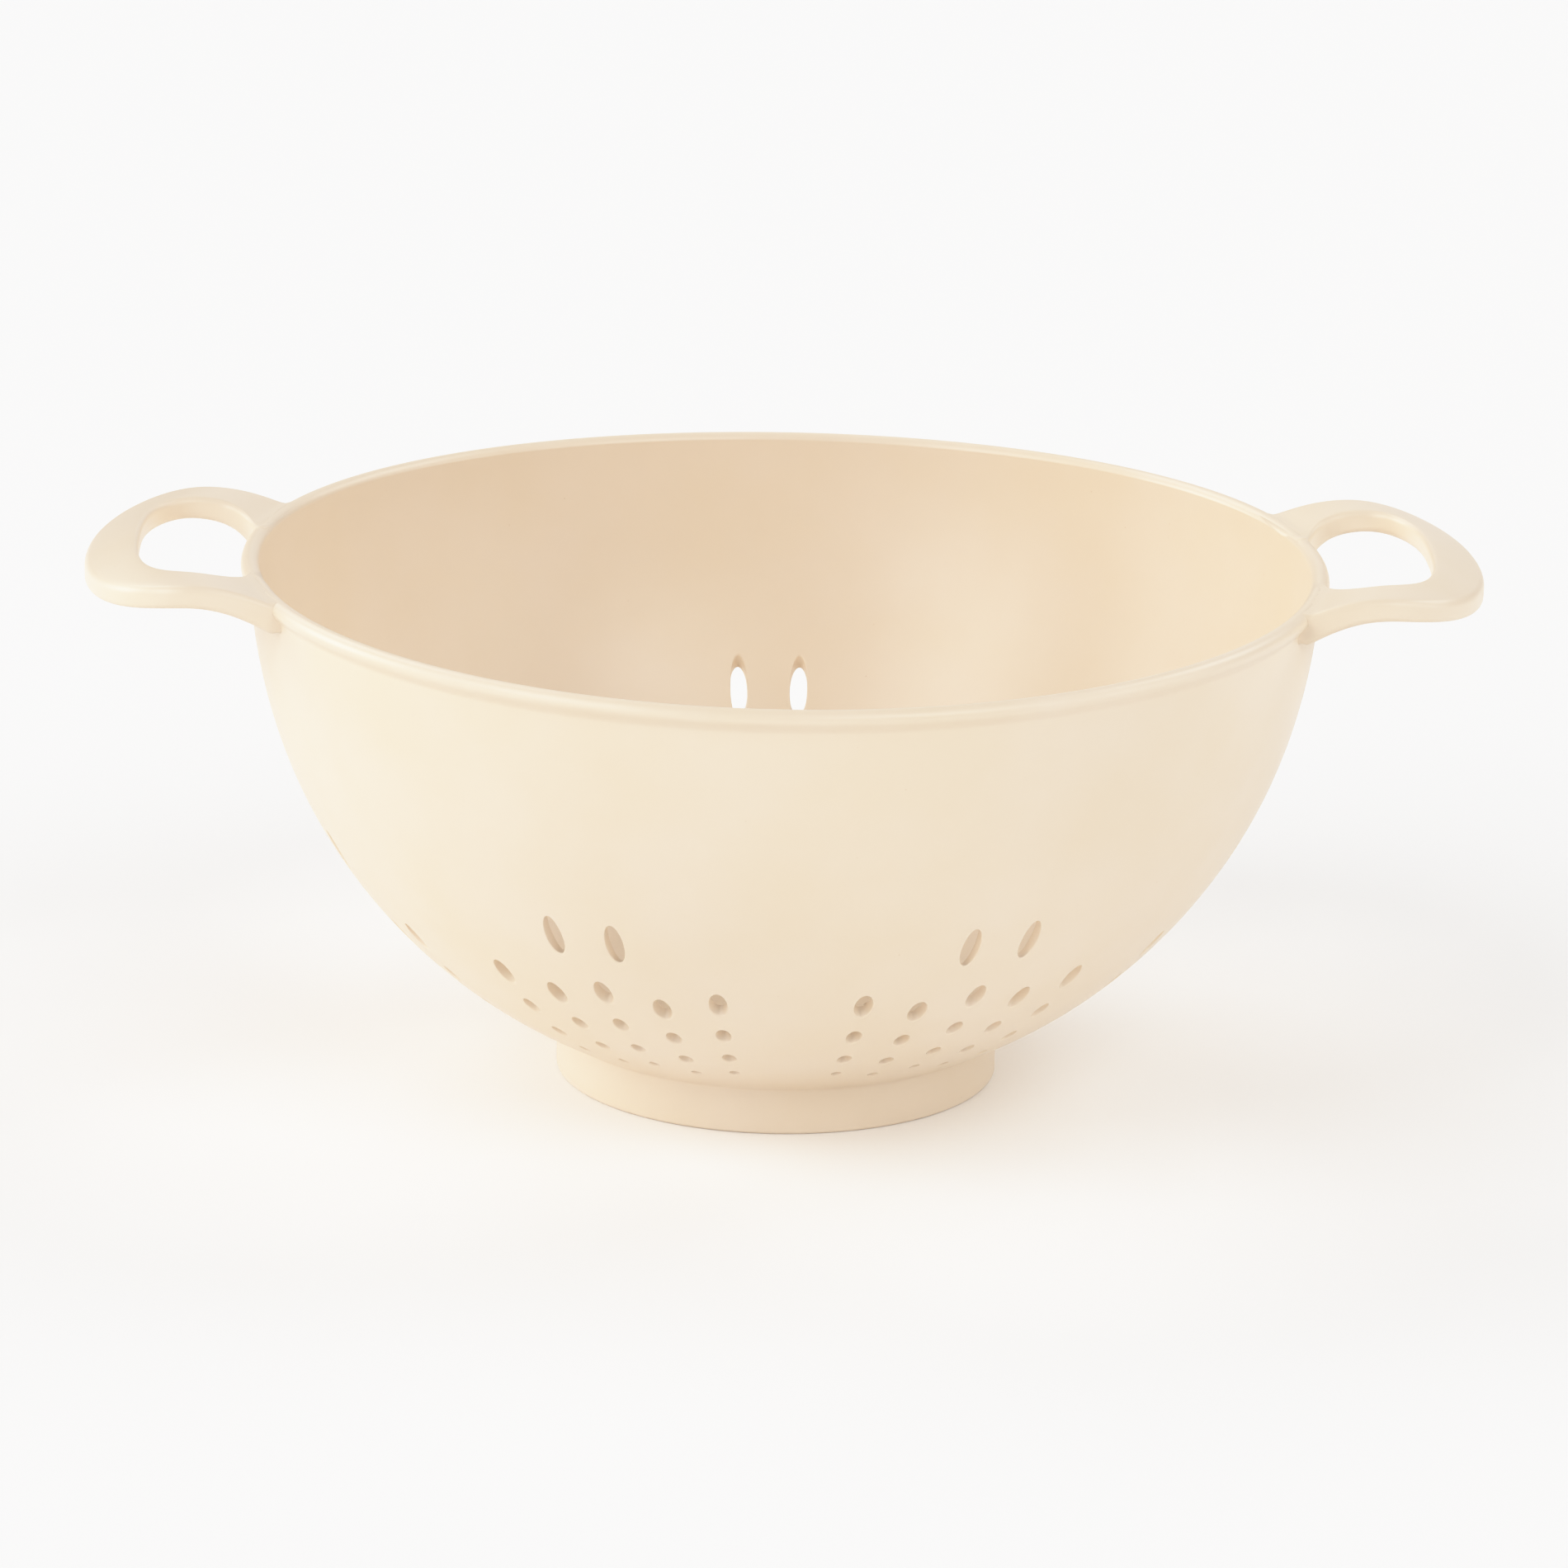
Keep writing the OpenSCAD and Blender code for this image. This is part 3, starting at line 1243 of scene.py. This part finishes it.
@dataclass
class Studio:
    """A pale floor in a ring of soft lights, and the camera of the photograph's view.

    The shoulder is the tone curve's power, its span the inputs between which the curve is drawn,
    and its end the input that gives full white.
    """

    floor_size: float = 12.0
    floor_colour: str = "FEFDFC"
    floor_roughness: float = 0.9
    floor_gloss: float = 0.1
    sky_colour: str = "FFFFFF"
    sky_strength: float = 0.2
    spread: float = 35.0
    shoulder: float = 7.0
    shoulder_span: tuple[float, float] = (0.4, 2.0)
    shoulder_points: int = 17
    shoulder_end: float = 2.5
    turn: float = -1.92
    distance: float = 1.6895
    eye_z: float = 0.5711
    pitch: float = 16.6181
    yaw: float = 0.023
    roll: float = 1.1447
    focal_px: float = 9396.5
    frame_px: int = 1900
    sight: float = 30.0

    def add_floor(self) -> None:
        """Adds the floor, which isn't part of the colander."""
        half = self.floor_size / 2
        corners = [(-half, -half, 0), (half, -half, 0), (half, half, 0), (-half, half, 0)]
        mesh = bpy.data.meshes.new("studio_floor")
        mesh.from_pydata(corners, [], [(0, 1, 2, 3)])
        floor = bpy.data.objects.new("studio_floor", mesh)
        bpy.context.scene.collection.objects.link(floor)
        paint = bpy.data.materials.new("matt_white_paper")
        paint.use_nodes = True
        shader = paint.node_tree.nodes["Principled BSDF"]
        shader.inputs["Base Color"].default_value = linear(self.floor_colour)
        shader.inputs["Roughness"].default_value = self.floor_roughness
        shader.inputs["Specular IOR Level"].default_value = self.floor_gloss
        mesh.materials.append(paint)

    def add_sky(self) -> None:
        """Adds a weak light from all round, so that no side is black."""
        world = bpy.data.worlds.new("studio_walls")
        bpy.context.scene.world = world
        world.use_nodes = True
        back = world.node_tree.nodes["Background"]
        back.inputs["Color"].default_value = linear(self.sky_colour)
        back.inputs["Strength"].default_value = self.sky_strength

    def add_softbox(self, box: Softbox) -> None:
        """Adds one light.

        Args:
            box: Its name, direction and strength.
        """
        data = bpy.data.lights.new(box.name, "SUN")
        data.energy = box.strength
        data.angle = math.radians(self.spread)
        light = bpy.data.objects.new(box.name, data)
        bpy.context.scene.collection.objects.link(light)
        a, e = math.radians(box.azimuth - self.turn), math.radians(box.elevation)
        way = Vector((math.sin(a) * math.cos(e), -math.cos(a) * math.cos(e), math.sin(e)))
        light.rotation_euler = way.to_track_quat("Z", "Y").to_euler()

    def set_tone(self) -> None:
        """Gives the picture a soft highlight shoulder: x / (1 + x^n)^(1 / n)."""
        view = bpy.context.scene.view_settings
        view.view_transform = "Standard"
        view.use_curve_mapping = True
        mapping = view.curve_mapping
        mapping.clip_max_x = self.shoulder_end
        mapping.extend = "HORIZONTAL"
        for curve in mapping.curves[:3]:
            curve.points[-1].location = (self.shoulder_end, 1.0)
            for x in np.linspace(*self.shoulder_span, self.shoulder_points):
                curve.points.new(x, x / (1 + x**self.shoulder) ** (1 / self.shoulder))
        mapping.update()

    def add_camera(self) -> None:
        """Adds the camera of the photograph's view, turned round the colander by the turn."""
        pitch, roll, yaw = (math.radians(angle) for angle in (self.pitch, self.roll, self.yaw))
        level = math.cos(pitch)
        ahead = Vector((math.sin(yaw) * level, math.cos(yaw) * level, -math.sin(pitch)))
        right = Vector((math.cos(yaw), -math.sin(yaw), 0))
        up = right.cross(ahead)
        rolled_right = math.cos(roll) * right + math.sin(roll) * up
        rolled_up = math.cos(roll) * up - math.sin(roll) * right
        axes = Matrix((rolled_right, rolled_up, -ahead)).transposed().to_4x4()
        eye = Matrix.Translation((0, -self.distance, self.eye_z))
        data = bpy.data.cameras.new("photo_camera")
        data.lens = self.focal_px / self.frame_px * data.sensor_width
        data.clip_end = self.sight
        camera = bpy.data.objects.new("photo_camera", data)
        bpy.context.scene.collection.objects.link(camera)
        camera.matrix_world = Matrix.Rotation(math.radians(self.turn), 4, "Z") @ eye @ axes
        bpy.context.scene.camera = camera

    def build(self) -> None:
        """Sets up the floor, the lights, the camera and the picture's tone."""
        self.add_camera()
        self.add_floor()
        self.add_sky()
        for box in SOFTBOXES:
            self.add_softbox(box)
        self.set_tone()


def main() -> None:
    """Builds the studio and the colander's pieces, and reports each."""
    logging.basicConfig(level=logging.INFO, format="%(name)s: %(message)s")
    Studio().build()
    form = BowlForm.from_frame()
    melamine = MouldedMelamine().make()
    Bowl(form, DrainPattern(form)).build(melamine)
    BaseFloor(form).build(melamine)
    FootRing(form).build(melamine)
    for side in Side:
        LoopHandle.from_frame(form, side).build(melamine)


if __name__ == "__main__":
    main()
